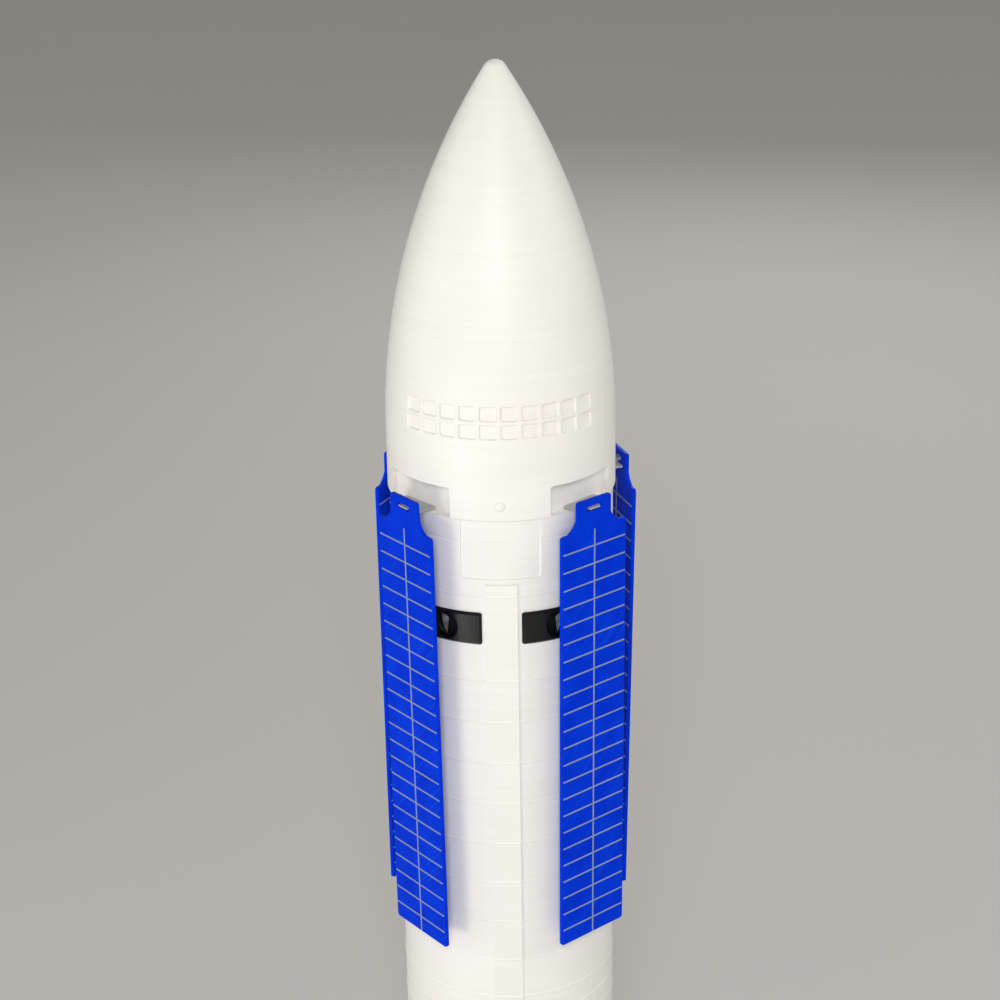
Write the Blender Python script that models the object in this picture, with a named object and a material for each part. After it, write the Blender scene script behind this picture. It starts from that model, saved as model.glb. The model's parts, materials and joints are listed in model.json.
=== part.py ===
"""Desktop model of a lunar lander rocket with five hanging solar panels.

Metres, +Z up. The origin is on the rocket's axis at the floor that its feet stand on,
and the cargo door faces -Y. Azimuth is measured from -Y towards +X.
"""

import math

import bmesh
import bpy
from mathutils import Matrix, Vector

MM = 0.001
GAP = 0.3 * MM

# Heights above the floor
TOTAL_HEIGHT = 520.6 * MM
SEAM_HEIGHT = 340.8 * MM
LIP_HEIGHT = 350.1 * MM
BARREL_JOINT_HEIGHT = 125.7 * MM
SKIRT_TOP_HEIGHT = 70.7 * MM
SKIRT_BOTTOM_HEIGHT = 26.0 * MM

# Body
BODY_RADIUS = 45.0 * MM
NOSE_RADIUS = 46.0 * MM
NOSE_STRAIGHT_TOP = 375.7 * MM
NOSE_SHARP_LENGTH = 148.9 * MM
NOSE_TIP_RADIUS = 5.0 * MM
BODY_SIDES = 60
EDGE_BEVEL = 0.4 * MM
CUTTER_REACH = 3.0 * MM

# Fine raised hoops around the body, one every ring; the ring under the pods has none
HOOP_TOP_HEIGHT = 317.9 * MM
HOOP_PITCH = 18.3 * MM
HOOP_COUNT = 16
HOOP_LEFT_OUT = 1
HOOP_HALF_HEIGHT = 0.55 * MM
HOOP_PROUD = 0.22 * MM

# Flat strip that runs down the front of the body
STRIP_HALF_WIDTH = 6.3 * MM
STRIP_PROUD = 0.5 * MM
STRIP_ROOT = 3.0 * MM
STRIP_TOP_HEIGHT = 323.0 * MM

# Cargo door, a shallow recess across the seam
DOOR_HALF_ANGLE = math.radians(20.5)
DOOR_BOTTOM_HEIGHT = 325.1 * MM
DOOR_DEPTH = 0.6 * MM
DOOR_CORNER = 1.6 * MM

# Round boss above the door
BOSS_HEIGHT = 356.2 * MM
BOSS_RADIUS = 1.3 * MM

# Windows, two rows of shallow recesses
WINDOW_COLUMNS = 10
WINDOW_PITCH = math.radians(10.4)
WINDOW_HALF_ANGLE = math.radians(4.6)
WINDOW_ROW_BOTTOMS = (383.2 * MM, 390.4 * MM)
WINDOW_ROW_HEIGHT = 6.3 * MM
WINDOW_DEPTH = 0.8 * MM
WINDOW_CORNER = 1.2 * MM

# Solar panels, each hanging loosely on its bracket's tab: where its hinge lies, how far it is
# turned about the upright and leans in towards the body, how far its foot swings sideways, how
# much higher than the others it hangs, and where its pocket and its bracket's plate lie
PANELS = {
    "front_right": {"azimuth": 45.0, "distance": 51.3, "twist": -2.3, "lean": 0.0,
                   "swing": -0.5, "lift": -0.7, "pocket": 46.9, "plate": 3.1},
    "side_right": {"azimuth": 112.8, "distance": 52.4, "twist": -3.3, "lean": 1.2,
                  "swing": 0.0, "lift": -0.9, "pocket": 112.8, "plate": 0.0},
    "rear": {"azimuth": 180.0, "distance": 51.2, "twist": 0.0, "lean": 0.5,
            "swing": 0.0, "lift": 0.0, "pocket": 180.0, "plate": 0.0},
    "side_left": {"azimuth": -117.0, "distance": 49.1, "twist": 1.4, "lean": 0.3,
                 "swing": 0.0, "lift": 0.0, "pocket": -117.0, "plate": 0.0},
    "front_left": {"azimuth": -45.0, "distance": 52.7, "twist": -7.1, "lean": 0.3,
                  "swing": 0.7, "lift": 0.6, "pocket": -46.9, "plate": -4.2},
}
HINGE_HEIGHT = 352.8 * MM
PANEL_THICKNESS = 1.6 * MM
PANEL_HALF_WIDTH = 17.4 * MM
PANEL_BOTTOM_HEIGHT = 162.7 * MM
PANEL_SHOULDER_HEIGHT = 344.4 * MM
PANEL_TOP_HEIGHT = 356.7 * MM
PANEL_NECK_HALF_WIDTH = 9.0 * MM
PANEL_FLARE = 4.6 * MM
PANEL_FLARE_FLATNESS = 0.6
PANEL_CORNER = 1.2 * MM
SLOT_LENGTH = 7.7 * MM
SLOT_HEIGHT = 2.0 * MM
SLOT_CORNER = 0.5 * MM

# Pockets in the nose section, one behind each panel's neck
POCKET_WALL_DISTANCE = 40.3 * MM
POCKET_HALF_WIDTH = 17.0 * MM
POCKET_TOP_HEIGHT = 362.7 * MM
POCKET_CORNER = 1.2 * MM
POCKET_CUT = 10.0 * MM

# Brackets: a plate on the pocket's floor, and a hook whose tab goes through the panel's slot
BRACKET_THICKNESS = 0.8 * MM
BRACKET_HALF_WIDTH = 8.7 * MM
TAB_HALF_WIDTH = 2.8 * MM
TAB_PAST_PANEL = 0.3 * MM
HOOK_BEFORE_HINGE = 1.5 * MM

# Four thruster pods, curved plates around the body under the panels; the legs share their azimuths
QUARTERS = {
    "front_right": math.radians(45),
    "rear_right": math.radians(135),
    "rear_left": math.radians(-135),
    "front_left": math.radians(-45),
}
POD_HALF_ANGLE = math.radians(35.0)
POD_BOTTOM_HEIGHT = 297.4 * MM
POD_TOP_HEIGHT = 311.0 * MM
POD_MIDDLE_HEIGHT = (POD_BOTTOM_HEIGHT + POD_TOP_HEIGHT) / 2
POD_THICKNESS = 1.2 * MM
POD_CORNER = 0.7 * MM
THRUSTER_OFFSET = math.radians(16.0)
RECESS_RADIUS = 5.4 * MM
RECESS_FLOOR_DISTANCE = 42.8 * MM
CUP_WALL = 0.9 * MM
CUP_SIDES = 20
CUP_SPACE_DEPTH = 8.0 * MM
NOZZLE_RADIUS = 2.9 * MM
NOZZLE_WALL = 0.5 * MM
NOZZLE_HOLLOW_DEPTH = 2.4 * MM
NOZZLE_THROAT_RADIUS = 0.8 * MM
NOZZLE_CANT = math.radians(52.0)
NOZZLE_RISE = math.radians(-6.0)
NOZZLE_MOUTH = (2.3 * MM, 1.7 * MM, 1.5 * MM)
NOZZLE_FOOT = (-0.3 * MM, 1.7 * MM, 1.2 * MM)
NOZZLE_FOOT_RADIUS = 1.2 * MM
NOZZLE_KEEL = (1.8 * MM, 0.3 * MM, -4.0 * MM)
NOZZLE_KEEL_RADIUS = 0.3 * MM
NOZZLE_SIDES = 16

# Skirt and engines
SKIRT_WALL = 2.0 * MM
ENGINE_PLATE_BOTTOM = 54.0 * MM
ENGINE_PLATE_RADIUS = 42.5 * MM
INNER_BELL_RADIUS = 6.0 * MM
INNER_BELL_LENGTH = 15.0 * MM
INNER_RING_RADIUS = 9.5 * MM
OUTER_BELL_RADIUS = 11.0 * MM
OUTER_BELL_LENGTH = 22.0 * MM
OUTER_RING_RADIUS = 27.5 * MM
BELL_WALL = 0.9 * MM
BELL_NECK_SHARE = 0.42
BELL_FLOOR_SHARE = 0.2
BELL_CURVE = 0.9
BELL_SIDES = 24

# Landing legs and feet
FOOT_DISTANCE = 64.0 * MM
FOOT_RADIUS = 9.5 * MM
FOOT_THICKNESS = 2.6 * MM
FOOT_SOLE_SLOPE = 1.6 * MM
FOOT_SOLE_HEIGHT = 1.2 * MM
FOOT_RIM = 1.0 * MM
FOOT_DISH = 0.9 * MM
ANKLE_RADIUS = 2.6 * MM
ANKLE_HEIGHT = 6.5 * MM
FAIRING_TOP_HEIGHT = 68.0 * MM
FAIRING_TOP_PROUD = 1.2 * MM
FAIRING_SHOULDER_DROP = 16.0 * MM
FAIRING_SHOULDER_PROUD = 5.0 * MM
FAIRING_KNEE_RISE = 8.0 * MM
FAIRING_BOTTOM_HEIGHT = 27.0 * MM
FAIRING_BOTTOM_PROUD = 4.5 * MM
FAIRING_HALF_WIDTH = 8.5 * MM
FAIRING_PROUD = 6.0 * MM
FAIRING_CHAMFER = 2.0 * MM
FAIRING_ROOT = 4.0 * MM
STRUT_RADIUS = 3.2 * MM
STRUT_SHARE = 0.62
KNEE_PROUD = 3.2 * MM
KNEE_RISE = 3.0 * MM
ROD_RADIUS = 2.1 * MM
BRACE_RADIUS = 1.3 * MM
BRACE_HALF_SPREAD = 7.0 * MM
BRACE_PROUD = 2.4 * MM
BRACE_RISE = 1.2 * MM
BRACE_DROP = 1.5 * MM

WHITE = ("white_print", (0.86, 0.85, 0.82, 1.0), 0.45, 0.0)
BLUE = ("blue_print", (0.0, 0.04, 0.72, 1.0), 0.32, 0.0)
SILVER = ("silver_print", (0.42, 0.42, 0.44, 1.0), 0.35, 0.4)
BLACK = ("black_print", (0.01, 0.01, 0.012, 1.0), 0.3, 0.0)


def clear_scene():
    for obj in list(bpy.data.objects):
        bpy.data.objects.remove(obj, do_unlink=True)


def material(settings):
    """Returns the Principled material of the given name, made the first time it is asked for."""
    name, colour, roughness, metallic = settings
    found = bpy.data.materials.get(name)
    if found:
        return found
    made = bpy.data.materials.new(name)
    made.use_nodes = True
    shader = made.node_tree.nodes["Principled BSDF"]
    shader.inputs["Base Color"].default_value = colour
    shader.inputs["Roughness"].default_value = roughness
    shader.inputs["Metallic"].default_value = metallic
    return made


def make_object(name, shape, finish=None, smooth_angle=math.radians(35)):
    """Turns a bmesh into an object; with no finish it is a hidden cutter or joining shape."""
    mesh = bpy.data.meshes.new(name)
    bmesh.ops.recalc_face_normals(shape, faces=shape.faces)
    if shape.calc_volume(signed=True) < 0:
        bmesh.ops.reverse_faces(shape, faces=shape.faces)
    shape.to_mesh(mesh)
    shape.free()
    obj = bpy.data.objects.new(name, mesh)
    bpy.context.scene.collection.objects.link(obj)
    if finish:
        mesh.materials.append(material(finish))
        mesh.shade_smooth()
        mesh.set_sharp_from_angle(angle=smooth_angle)
    else:
        obj.hide_render = True
        obj.display_type = "WIRE"
    return obj


def combine(target, tool, operation):
    modifier = target.modifiers.new(tool.name, "BOOLEAN")
    modifier.object = tool
    modifier.operation = operation


def place_at(azimuth, distance=0.0, height=0.0):
    """Local +X points outwards along the azimuth, +Y along the tangent and +Z up."""
    turn = Matrix.Rotation(azimuth - math.pi / 2, 4, "Z")
    return Matrix.Translation((0, 0, height)) @ turn @ Matrix.Translation((distance, 0, 0))


def turned(profile, sides, closed=False):
    """Turns (radius, height) points about the axis; a radius of 0 makes a pole."""
    shape = bmesh.new()
    rows = []
    for radius, height in profile:
        if radius == 0:
            rows.append([shape.verts.new((0, 0, height))])
            continue
        row = []
        for k in range(sides):
            azimuth = 2 * math.pi * k / sides
            row.append(shape.verts.new((radius * math.sin(azimuth), -radius * math.cos(azimuth), height)))
        rows.append(row)
    pairs = list(zip(rows, rows[1:]))
    if closed:
        pairs.append((rows[-1], rows[0]))
    for low, high in pairs:
        for k in range(sides):
            after = (k + 1) % sides
            corners = [low[k % len(low)], low[after % len(low)], high[after % len(high)], high[k % len(high)]]
            unique = list(dict.fromkeys(corners))
            if len(unique) > 2:
                shape.faces.new(unique)
    if not closed:
        for row in (rows[0], rows[-1]):
            if len(row) > 1:
                shape.faces.new(row)
    return shape


def curved_plate(half_angle, low, high, inner, outer, corner, steps, corner_steps=3):
    """A plate bent round the axis, centred on azimuth 0, with rounded corners."""
    corner_angle = corner / outer
    columns = []
    for k in range(corner_steps + 1):
        turn = math.pi / 2 * k / corner_steps
        columns.append((-half_angle + corner_angle * (1 - math.cos(turn)), corner * (1 - math.sin(turn))))
    inside = half_angle - corner_angle
    middle = [(-inside + 2 * inside * k / steps, 0.0) for k in range(1, steps)]
    columns += middle + [(-azimuth, cut) for azimuth, cut in reversed(columns)]
    shape = bmesh.new()
    rings = []
    for azimuth, cut in columns:
        ring = []
        corners = ((inner, low + cut), (outer, low + cut), (outer, high - cut), (inner, high - cut))
        for radius, height in corners:
            ring.append(shape.verts.new((radius * math.sin(azimuth), -radius * math.cos(azimuth), height)))
        rings.append(ring)
    for one, two in zip(rings, rings[1:]):
        for k in range(4):
            shape.faces.new((one[k], one[(k + 1) % 4], two[(k + 1) % 4], two[k]))
    shape.faces.new(rings[0])
    shape.faces.new(rings[-1])
    return shape


def prism(outline, depth):
    """Extrudes a closed outline of (Y, Z) points from -depth/2 to +depth/2 along X."""
    shape = bmesh.new()
    back = [shape.verts.new((-depth / 2, y, z)) for y, z in outline]
    front = [shape.verts.new((depth / 2, y, z)) for y, z in outline]
    shape.faces.new(back)
    shape.faces.new(front)
    for k in range(len(outline)):
        after = (k + 1) % len(outline)
        shape.faces.new((back[k], back[after], front[after], front[k]))
    return shape


def arc(centre, radius, start, end, steps):
    """Points on an arc, from one angle to the other, in degrees."""
    points = []
    for k in range(steps + 1):
        angle = math.radians(start + (end - start) * k / steps)
        points.append((centre[0] + radius * math.cos(angle), centre[1] + radius * math.sin(angle)))
    return points


def mirrored(right):
    """Closes an outline whose right half is given from the bottom up."""
    return right + [(-y, z) for y, z in reversed(right)]


def nose_profile():
    """Lip, straight wall, tangent ogive and spherical tip, from the seam to the tip."""
    arc_radius = (NOSE_RADIUS ** 2 + NOSE_SHARP_LENGTH ** 2) / (2 * NOSE_RADIUS)
    bottom = SEAM_HEIGHT + GAP / 2
    points = [(BODY_RADIUS - EDGE_BEVEL, bottom), (BODY_RADIUS, bottom + EDGE_BEVEL)]
    points += [(BODY_RADIUS, LIP_HEIGHT - EDGE_BEVEL), (NOSE_RADIUS, LIP_HEIGHT)]
    tip_centre = TOTAL_HEIGHT - NOSE_TIP_RADIUS
    # The sphere touches the ogive where both have the same slope.
    reach = arc_radius - NOSE_TIP_RADIUS
    slope = math.asin((tip_centre - NOSE_STRAIGHT_TOP) / reach)
    steps = 12
    for k in range(steps + 1):
        angle = slope * k / steps
        radius = arc_radius * math.cos(angle) - (arc_radius - NOSE_RADIUS)
        points.append((radius, NOSE_STRAIGHT_TOP + arc_radius * math.sin(angle)))
    join_radius = points[-1][0]
    start = math.acos(min(1.0, join_radius / NOSE_TIP_RADIUS))
    for k in range(1, 5):
        angle = start + (math.pi / 2 - start) * k / 5
        points.append((NOSE_TIP_RADIUS * math.cos(angle), tip_centre + NOSE_TIP_RADIUS * math.sin(angle)))
    return points + [(0, TOTAL_HEIGHT)]


def make_door_cutter():
    shape = curved_plate(DOOR_HALF_ANGLE, DOOR_BOTTOM_HEIGHT, LIP_HEIGHT, BODY_RADIUS - DOOR_DEPTH,
                         BODY_RADIUS + CUTTER_REACH, DOOR_CORNER, 10)
    return make_object("door_cutter", shape)


def make_window_cutter():
    joined = bmesh.new()
    for bottom in WINDOW_ROW_BOTTOMS:
        for k in range(WINDOW_COLUMNS):
            shape = curved_plate(WINDOW_HALF_ANGLE, bottom, bottom + WINDOW_ROW_HEIGHT,
                                 BODY_RADIUS - WINDOW_DEPTH, BODY_RADIUS + CUTTER_REACH, WINDOW_CORNER, 1, 2)
            turn = WINDOW_PITCH * (k - (WINDOW_COLUMNS - 1) / 2)
            shape.transform(Matrix.Rotation(turn, 4, "Z"))
            mesh = bpy.data.meshes.new("window")
            shape.to_mesh(mesh)
            shape.free()
            joined.from_mesh(mesh)
    return make_object("window_cutter", joined)


def make_pocket_cutter(place):
    """Square corners on the pocket's floor, rounded ones at its top."""
    corner = POCKET_CORNER
    right = [(POCKET_HALF_WIDTH, LIP_HEIGHT)]
    right += arc((POCKET_HALF_WIDTH - corner, POCKET_TOP_HEIGHT - corner), corner, 0, 90, 3)
    shape = prism(mirrored(right), POCKET_CUT)
    azimuth = math.radians(PANELS[place]["pocket"])
    shape.transform(place_at(azimuth, POCKET_WALL_DISTANCE + POCKET_CUT / 2))
    return make_object("pocket_cutter_" + place, shape)


def make_boss():
    shape = bmesh.new()
    bmesh.ops.create_uvsphere(shape, u_segments=12, v_segments=6, radius=BOSS_RADIUS)
    shape.transform(Matrix.Translation((0, -NOSE_RADIUS, BOSS_HEIGHT)))
    return make_object("boss", shape)


def make_nose_section(door_cutter):
    nose = make_object("nose_section", turned(nose_profile(), BODY_SIDES), WHITE)
    combine(nose, door_cutter, "DIFFERENCE")
    combine(nose, make_window_cutter(), "DIFFERENCE")
    for place in PANELS:
        combine(nose, make_pocket_cutter(place), "DIFFERENCE")
    combine(nose, make_boss(), "UNION")


def hoop_heights(low, high):
    """Heights of the hoops between two levels, from the bottom up."""
    every = [HOOP_TOP_HEIGHT - HOOP_PITCH * k for k in range(HOOP_COUNT) if k != HOOP_LEFT_OUT]
    return sorted(height for height in every if low < height < high)


def hooped_wall(reach, low, high):
    """Points up a wall from one level to the other, with a bead at each hoop."""
    points = [(reach, low)]
    for height in hoop_heights(low, high):
        points.append((reach, height - HOOP_HALF_HEIGHT))
        points.append((reach + HOOP_PROUD, height))
        points.append((reach, height + HOOP_HALF_HEIGHT))
    return points + [(reach, high)]


def barrel_profile(low, high):
    wall = hooped_wall(BODY_RADIUS, low + EDGE_BEVEL, high - EDGE_BEVEL)
    return [(BODY_RADIUS - EDGE_BEVEL, low)] + wall + [(BODY_RADIUS - EDGE_BEVEL, high)]


def make_strip(name, low, high):
    """The flat strip on the front of one barrel, with the hoops stepping over it."""
    back = BODY_RADIUS - STRIP_ROOT
    outline = [(back, low)] + hooped_wall(BODY_RADIUS + STRIP_PROUD, low, high) + [(back, high)]
    shape = prism(outline, 2 * STRIP_HALF_WIDTH)
    shape.transform(Matrix.Rotation(math.pi, 4, "Z"))
    return make_object(name, shape)


def make_cup_space(quarter, turn, side):
    """Hole in the barrel for the cup behind one thruster."""
    floor = RECESS_FLOOR_DISTANCE - CUP_WALL - GAP
    shape = disc_towards(RECESS_RADIUS + CUP_WALL + GAP, floor, floor + CUP_SPACE_DEPTH, turn)
    return make_object(f"cup_space_{quarter}_{side}", shape)


def make_barrels(door_cutter):
    joint = BARREL_JOINT_HEIGHT
    bottom = joint + GAP / 2
    top = SEAM_HEIGHT - GAP / 2
    upper = make_object("barrel_upper", turned(barrel_profile(bottom, top), BODY_SIDES), WHITE)
    combine(upper, make_strip("strip_upper", bottom + EDGE_BEVEL, STRIP_TOP_HEIGHT), "UNION")
    combine(upper, door_cutter, "DIFFERENCE")
    for quarter, azimuth in QUARTERS.items():
        for side, offset in (("a", -THRUSTER_OFFSET), ("b", THRUSTER_OFFSET)):
            combine(upper, make_cup_space(quarter, azimuth + offset, side), "DIFFERENCE")
    low = SKIRT_TOP_HEIGHT + GAP / 2
    high = joint - GAP / 2
    lower = make_object("barrel_lower", turned(barrel_profile(low, high), BODY_SIDES), WHITE)
    combine(lower, make_strip("strip_lower", low + EDGE_BEVEL, high - EDGE_BEVEL), "UNION")


def make_skirt():
    inner = BODY_RADIUS - SKIRT_WALL
    low = SKIRT_BOTTOM_HEIGHT
    high = SKIRT_TOP_HEIGHT - GAP / 2
    profile = [(inner, low)] + barrel_profile(low, high) + [(inner, high)]
    make_object("skirt", turned(profile, BODY_SIDES, closed=True), WHITE)


def make_engine_plate():
    radius = ENGINE_PLATE_RADIUS
    profile = [(radius, ENGINE_PLATE_BOTTOM), (radius, SKIRT_TOP_HEIGHT - GAP / 2)]
    make_object("engine_plate", turned(profile, BODY_SIDES), SILVER)


def bell_profile(radius, length):
    """Outer curve from the neck down to the mouth, then back up the inside."""
    neck = radius * BELL_NECK_SHARE
    steps = 5
    outside = []
    for k in range(steps + 1):
        share = k / steps
        flare_share = math.sin(share * math.pi / 2) ** BELL_CURVE
        outside.append((neck + (radius - neck) * flare_share, -length * share))
    floor = -length * BELL_FLOOR_SHARE
    inside = [(reach - BELL_WALL, height) for reach, height in reversed(outside) if height < floor]
    return [(0, 0)] + outside + inside + [(0, inside[-1][1])]


def make_bell(name, radius, length, ring_radius, azimuth):
    shape = turned(bell_profile(radius, length), BELL_SIDES)
    shape.transform(place_at(azimuth, ring_radius, ENGINE_PLATE_BOTTOM - GAP))
    make_object(name, shape, SILVER)


def make_engines():
    for k in range(3):
        turn = math.radians(120 * k)
        make_bell(f"engine_outer_{k + 1}", OUTER_BELL_RADIUS, OUTER_BELL_LENGTH, OUTER_RING_RADIUS, turn)
        make_bell(f"engine_inner_{k + 1}", INNER_BELL_RADIUS, INNER_BELL_LENGTH, INNER_RING_RADIUS,
                  turn + math.radians(60))


def hinge_place(place):
    """Matrix of a panel's hinge: local +X points out of the panel's face, +Z up."""
    panel = PANELS[place]
    height = HINGE_HEIGHT + panel["lift"] * MM
    where = place_at(math.radians(panel["azimuth"]), panel["distance"] * MM, height)
    return where @ Matrix.Rotation(math.radians(panel["twist"]), 4, "Z")


def make_plate(place):
    """Flat plate on the pocket's floor, one edge along the wall and one along the panel."""
    panel = PANELS[place]
    turn = math.radians(panel["pocket"] - panel["azimuth"])
    twist = math.radians(panel["twist"])
    inner = (POCKET_WALL_DISTANCE + GAP) / math.cos(turn)
    outer = panel["distance"] * MM - HOOK_BEFORE_HINGE - BRACKET_THICKNESS / 2
    near = panel["plate"] * MM - BRACKET_HALF_WIDTH
    far = panel["plate"] * MM + BRACKET_HALF_WIDTH
    corners = [(inner - side * math.tan(turn), side) for side in (far, near)]
    corners += [(outer - side * math.tan(twist), side) for side in (near, far)]
    base = LIP_HEIGHT + GAP
    shape = bmesh.new()
    lower = [shape.verts.new((x, y, base)) for x, y in corners]
    upper = [shape.verts.new((x, y, base + BRACKET_THICKNESS)) for x, y in corners]
    shape.faces.new(lower)
    shape.faces.new(upper)
    for k in range(len(corners)):
        after = (k + 1) % len(corners)
        shape.faces.new((lower[k], lower[after], upper[after], upper[k]))
    shape.transform(place_at(math.radians(panel["azimuth"])))
    return make_object("bracket_plate_" + place, shape)


def make_bracket(place):
    """Hook whose tab goes through the panel's slot, standing on the end of its plate."""
    thick = BRACKET_THICKNESS
    base = LIP_HEIGHT + GAP - HINGE_HEIGHT - PANELS[place]["lift"] * MM
    back = -HOOK_BEFORE_HINGE - thick
    front = -HOOK_BEFORE_HINGE
    end = PANEL_THICKNESS / 2 + TAB_PAST_PANEL
    outline = ((back, base), (front, base), (front, -thick / 2), (end, -thick / 2), (end, thick / 2),
               (back, thick / 2))
    shape = bmesh.new()
    near = [shape.verts.new((x, -TAB_HALF_WIDTH, z)) for x, z in outline]
    far = [shape.verts.new((x, TAB_HALF_WIDTH, z)) for x, z in outline]
    shape.faces.new(near)
    shape.faces.new(far)
    for k in range(len(outline)):
        after = (k + 1) % len(outline)
        shape.faces.new((near[k], near[after], far[after], far[k]))
    shape.transform(hinge_place(place))
    bracket = make_object("bracket_" + place, shape, SILVER)
    combine(bracket, make_plate(place), "UNION")


def flare(neck, shoulder):
    """Points from the shoulder up to the neck, between a hollow arc and a straight cut."""
    reach = PANEL_FLARE
    steps = 4
    points = []
    for k, (y, z) in enumerate(arc((neck + reach, shoulder + reach), reach, 270, 180, steps)):
        straight = (neck + reach * (1 - k / steps), shoulder + reach * k / steps)
        share = PANEL_FLARE_FLATNESS
        points.append((y + (straight[0] - y) * share, z + (straight[1] - z) * share))
    return points


def panel_outline():
    """The heights are from the hinge."""
    bottom = PANEL_BOTTOM_HEIGHT - HINGE_HEIGHT
    shoulder = PANEL_SHOULDER_HEIGHT - HINGE_HEIGHT
    top = PANEL_TOP_HEIGHT - HINGE_HEIGHT
    corner = PANEL_CORNER
    wide = PANEL_HALF_WIDTH
    neck = PANEL_NECK_HALF_WIDTH
    right = arc((wide - corner, bottom + corner), corner, -90, 0, 2)
    right += arc((wide - corner, shoulder - corner), corner, 0, 90, 2)
    right += flare(neck, shoulder)
    right += arc((neck - corner, top - corner), corner, 0, 90, 2)
    return mirrored(right)


def slot_outline():
    end = SLOT_LENGTH / 2
    half = SLOT_HEIGHT / 2
    right = arc((end - SLOT_CORNER, SLOT_CORNER - half), SLOT_CORNER, -90, 0, 1)
    right += arc((end - SLOT_CORNER, half - SLOT_CORNER), SLOT_CORNER, 0, 90, 1)
    return mirrored(right)


def make_panel(place):
    """A flat plate with a slot in its neck; the object's origin is on its hinge axis."""
    panel = make_object("panel_" + place, prism(panel_outline(), PANEL_THICKNESS), BLUE)
    cutter = make_object("slot_cutter_" + place, prism(slot_outline(), 4 * PANEL_THICKNESS))
    lean = Matrix.Rotation(math.radians(PANELS[place]["lean"]), 4, "Y")
    where = hinge_place(place) @ lean @ Matrix.Rotation(math.radians(PANELS[place]["swing"]), 4, "X")
    panel.matrix_world = where
    cutter.matrix_world = where
    combine(panel, cutter, "DIFFERENCE")


def disc_towards(radius, inner, outer, turn):
    """A round plug that lies along the outward direction at one thruster."""
    shape = bmesh.new()
    bmesh.ops.create_cone(shape, cap_ends=True, segments=CUP_SIDES, radius1=radius, radius2=radius,
                          depth=outer - inner)
    shape.transform(Matrix.Rotation(math.pi / 2, 4, "Y"))
    shape.transform(place_at(turn, (inner + outer) / 2, POD_MIDDLE_HEIGHT))
    return shape


def make_nozzle(name, turn, side):
    """Thruster bell that opens sideways, on the floor of its recess, and narrows to a keel below."""
    def sideways(place):
        return Vector((place[0], side * place[1], place[2]))

    level = math.cos(NOZZLE_RISE)
    aim = Vector((math.cos(NOZZLE_CANT) * level, side * math.sin(NOZZLE_CANT) * level, math.sin(NOZZLE_RISE)))
    facing = aim.to_track_quat("Z", "Y").to_matrix().to_4x4()
    flat = Matrix.Rotation(math.pi / 2, 4, "Y")
    mouth = sideways(NOZZLE_MOUTH)
    shape = bmesh.new()
    rings = ((NOZZLE_RADIUS, mouth, facing), (NOZZLE_FOOT_RADIUS, sideways(NOZZLE_FOOT), flat),
             (NOZZLE_KEEL_RADIUS, sideways(NOZZLE_KEEL), facing))
    for radius, place, turned_to in rings:
        bmesh.ops.create_circle(shape, segments=NOZZLE_SIDES, radius=radius,
                                matrix=Matrix.Translation(place) @ turned_to)
    bmesh.ops.convex_hull(shape, input=shape.verts)
    bmesh.ops.delete(shape, geom=[edge for edge in shape.edges if edge.is_wire], context="EDGES")
    bmesh.ops.delete(shape, geom=[vert for vert in shape.verts if not vert.link_faces], context="VERTS")
    bmesh.ops.recalc_face_normals(shape, faces=shape.faces)
    where = place_at(turn, RECESS_FLOOR_DISTANCE, POD_MIDDLE_HEIGHT)
    shape.transform(where)
    nozzle = make_object(name, shape)
    hollow = bmesh.new()
    bmesh.ops.create_cone(hollow, cap_ends=True, segments=NOZZLE_SIDES, radius1=NOZZLE_THROAT_RADIUS,
                          radius2=2 * (NOZZLE_RADIUS - NOZZLE_WALL) - NOZZLE_THROAT_RADIUS,
                          depth=2 * NOZZLE_HOLLOW_DEPTH)
    hollow.transform(where @ Matrix.Translation(mouth) @ facing)
    combine(nozzle, make_object("hollow_" + name, hollow), "DIFFERENCE")
    return nozzle


def make_pod(quarter, azimuth):
    """Curved plate with two thruster bells, each in a cup that is let into the barrel."""
    inner = BODY_RADIUS + GAP
    outer = inner + POD_THICKNESS
    middle = inner + POD_THICKNESS / 2
    shape = curved_plate(POD_HALF_ANGLE, POD_BOTTOM_HEIGHT, POD_TOP_HEIGHT, inner, outer, POD_CORNER, 18)
    shape.transform(Matrix.Rotation(azimuth, 4, "Z"))
    pod = make_object("pod_" + quarter, shape, BLACK)
    for side, sign in (("a", -1), ("b", 1)):
        turn = azimuth + sign * THRUSTER_OFFSET
        cup = disc_towards(RECESS_RADIUS + CUP_WALL, RECESS_FLOOR_DISTANCE - CUP_WALL, middle, turn)
        combine(pod, make_object(f"cup_{quarter}_{side}", cup), "UNION")
        recess = disc_towards(RECESS_RADIUS, RECESS_FLOOR_DISTANCE, outer + CUTTER_REACH, turn)
        combine(pod, make_object(f"recess_{quarter}_{side}", recess), "DIFFERENCE")
        combine(pod, make_nozzle(f"nozzle_{quarter}_{side}", turn, -sign), "UNION")


def rod(start, end, radius, sides):
    """A round bar between two points."""
    start, end = Vector(start), Vector(end)
    shape = bmesh.new()
    bmesh.ops.create_cone(shape, cap_ends=True, segments=sides, radius1=radius, radius2=radius,
                          depth=(end - start).length)
    turn = Vector((0, 0, 1)).rotation_difference(end - start).to_matrix().to_4x4()
    shape.transform(Matrix.Translation((start + end) / 2) @ turn)
    return shape


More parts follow.
